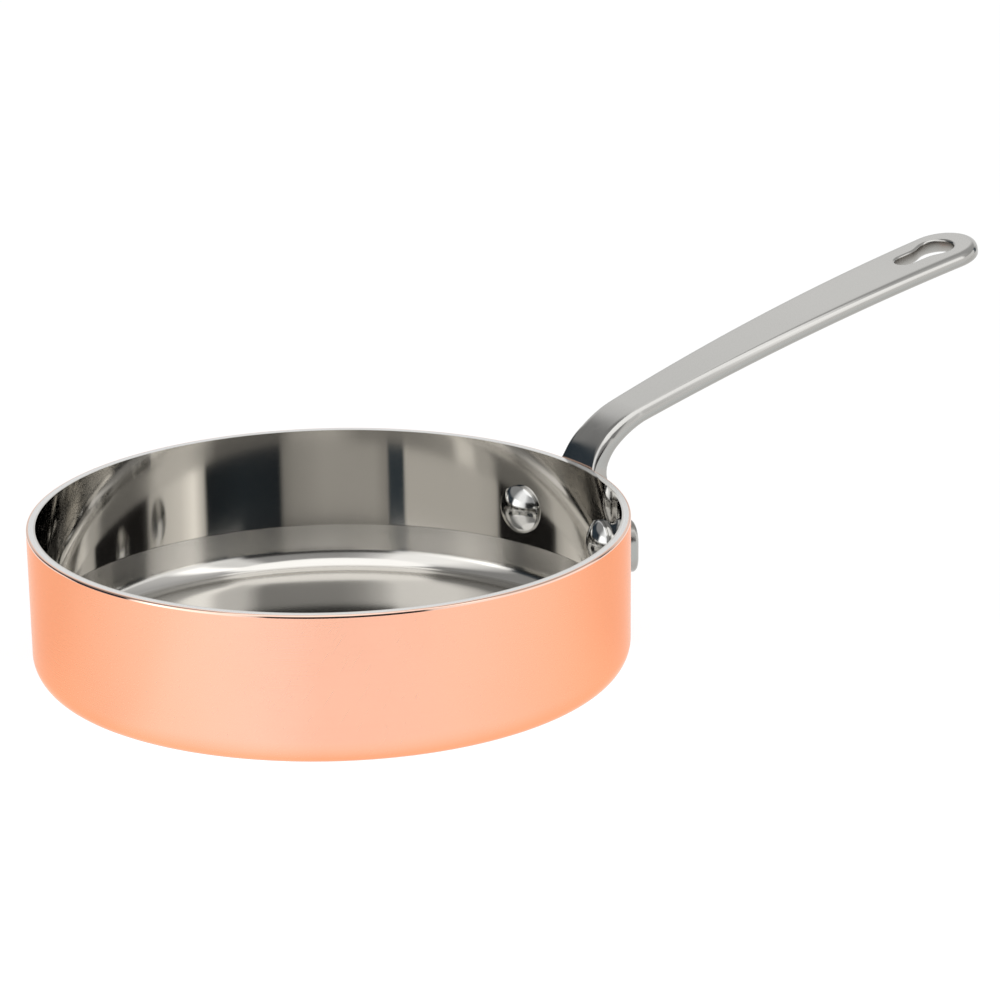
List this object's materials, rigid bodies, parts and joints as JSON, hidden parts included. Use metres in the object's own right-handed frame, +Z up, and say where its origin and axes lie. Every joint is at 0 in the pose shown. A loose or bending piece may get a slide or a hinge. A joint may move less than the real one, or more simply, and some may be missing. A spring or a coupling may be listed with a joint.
{
  "type": "frying pan",
  "caption": "Small shallow frying pan, copper outside and bright steel inside, with an upright wall, a rounded base edge and a long riveted steel handle that ends in a keyhole for hanging.",
  "frame": {"origin": "centre of the underside of the pan's base", "axes": "+X out along the handle, +Y to the left of somebody looking from the pan along the handle, +Z up out of the pan"},
  "size_m": [0.2598, 0.14, 0.0722],
  "materials": {
    "copper": "satin copper, polished",
    "aluminium": "bare rolled aluminium, seen only as a line in the rim",
    "lining_steel": "polished stainless steel with fine marks round the wall",
    "handle_steel": "satin stainless steel",
    "rivet_steel": "polished stainless steel"
  },
  "bodies": {
    "root": {"copper_shell": "copper", "aluminium_core": "aluminium", "steel_lining": "lining_steel", "handle": "handle_steel", "left_rivet": "rivet_steel", "right_rivet": "rivet_steel"}
  },
  "joints": []
}
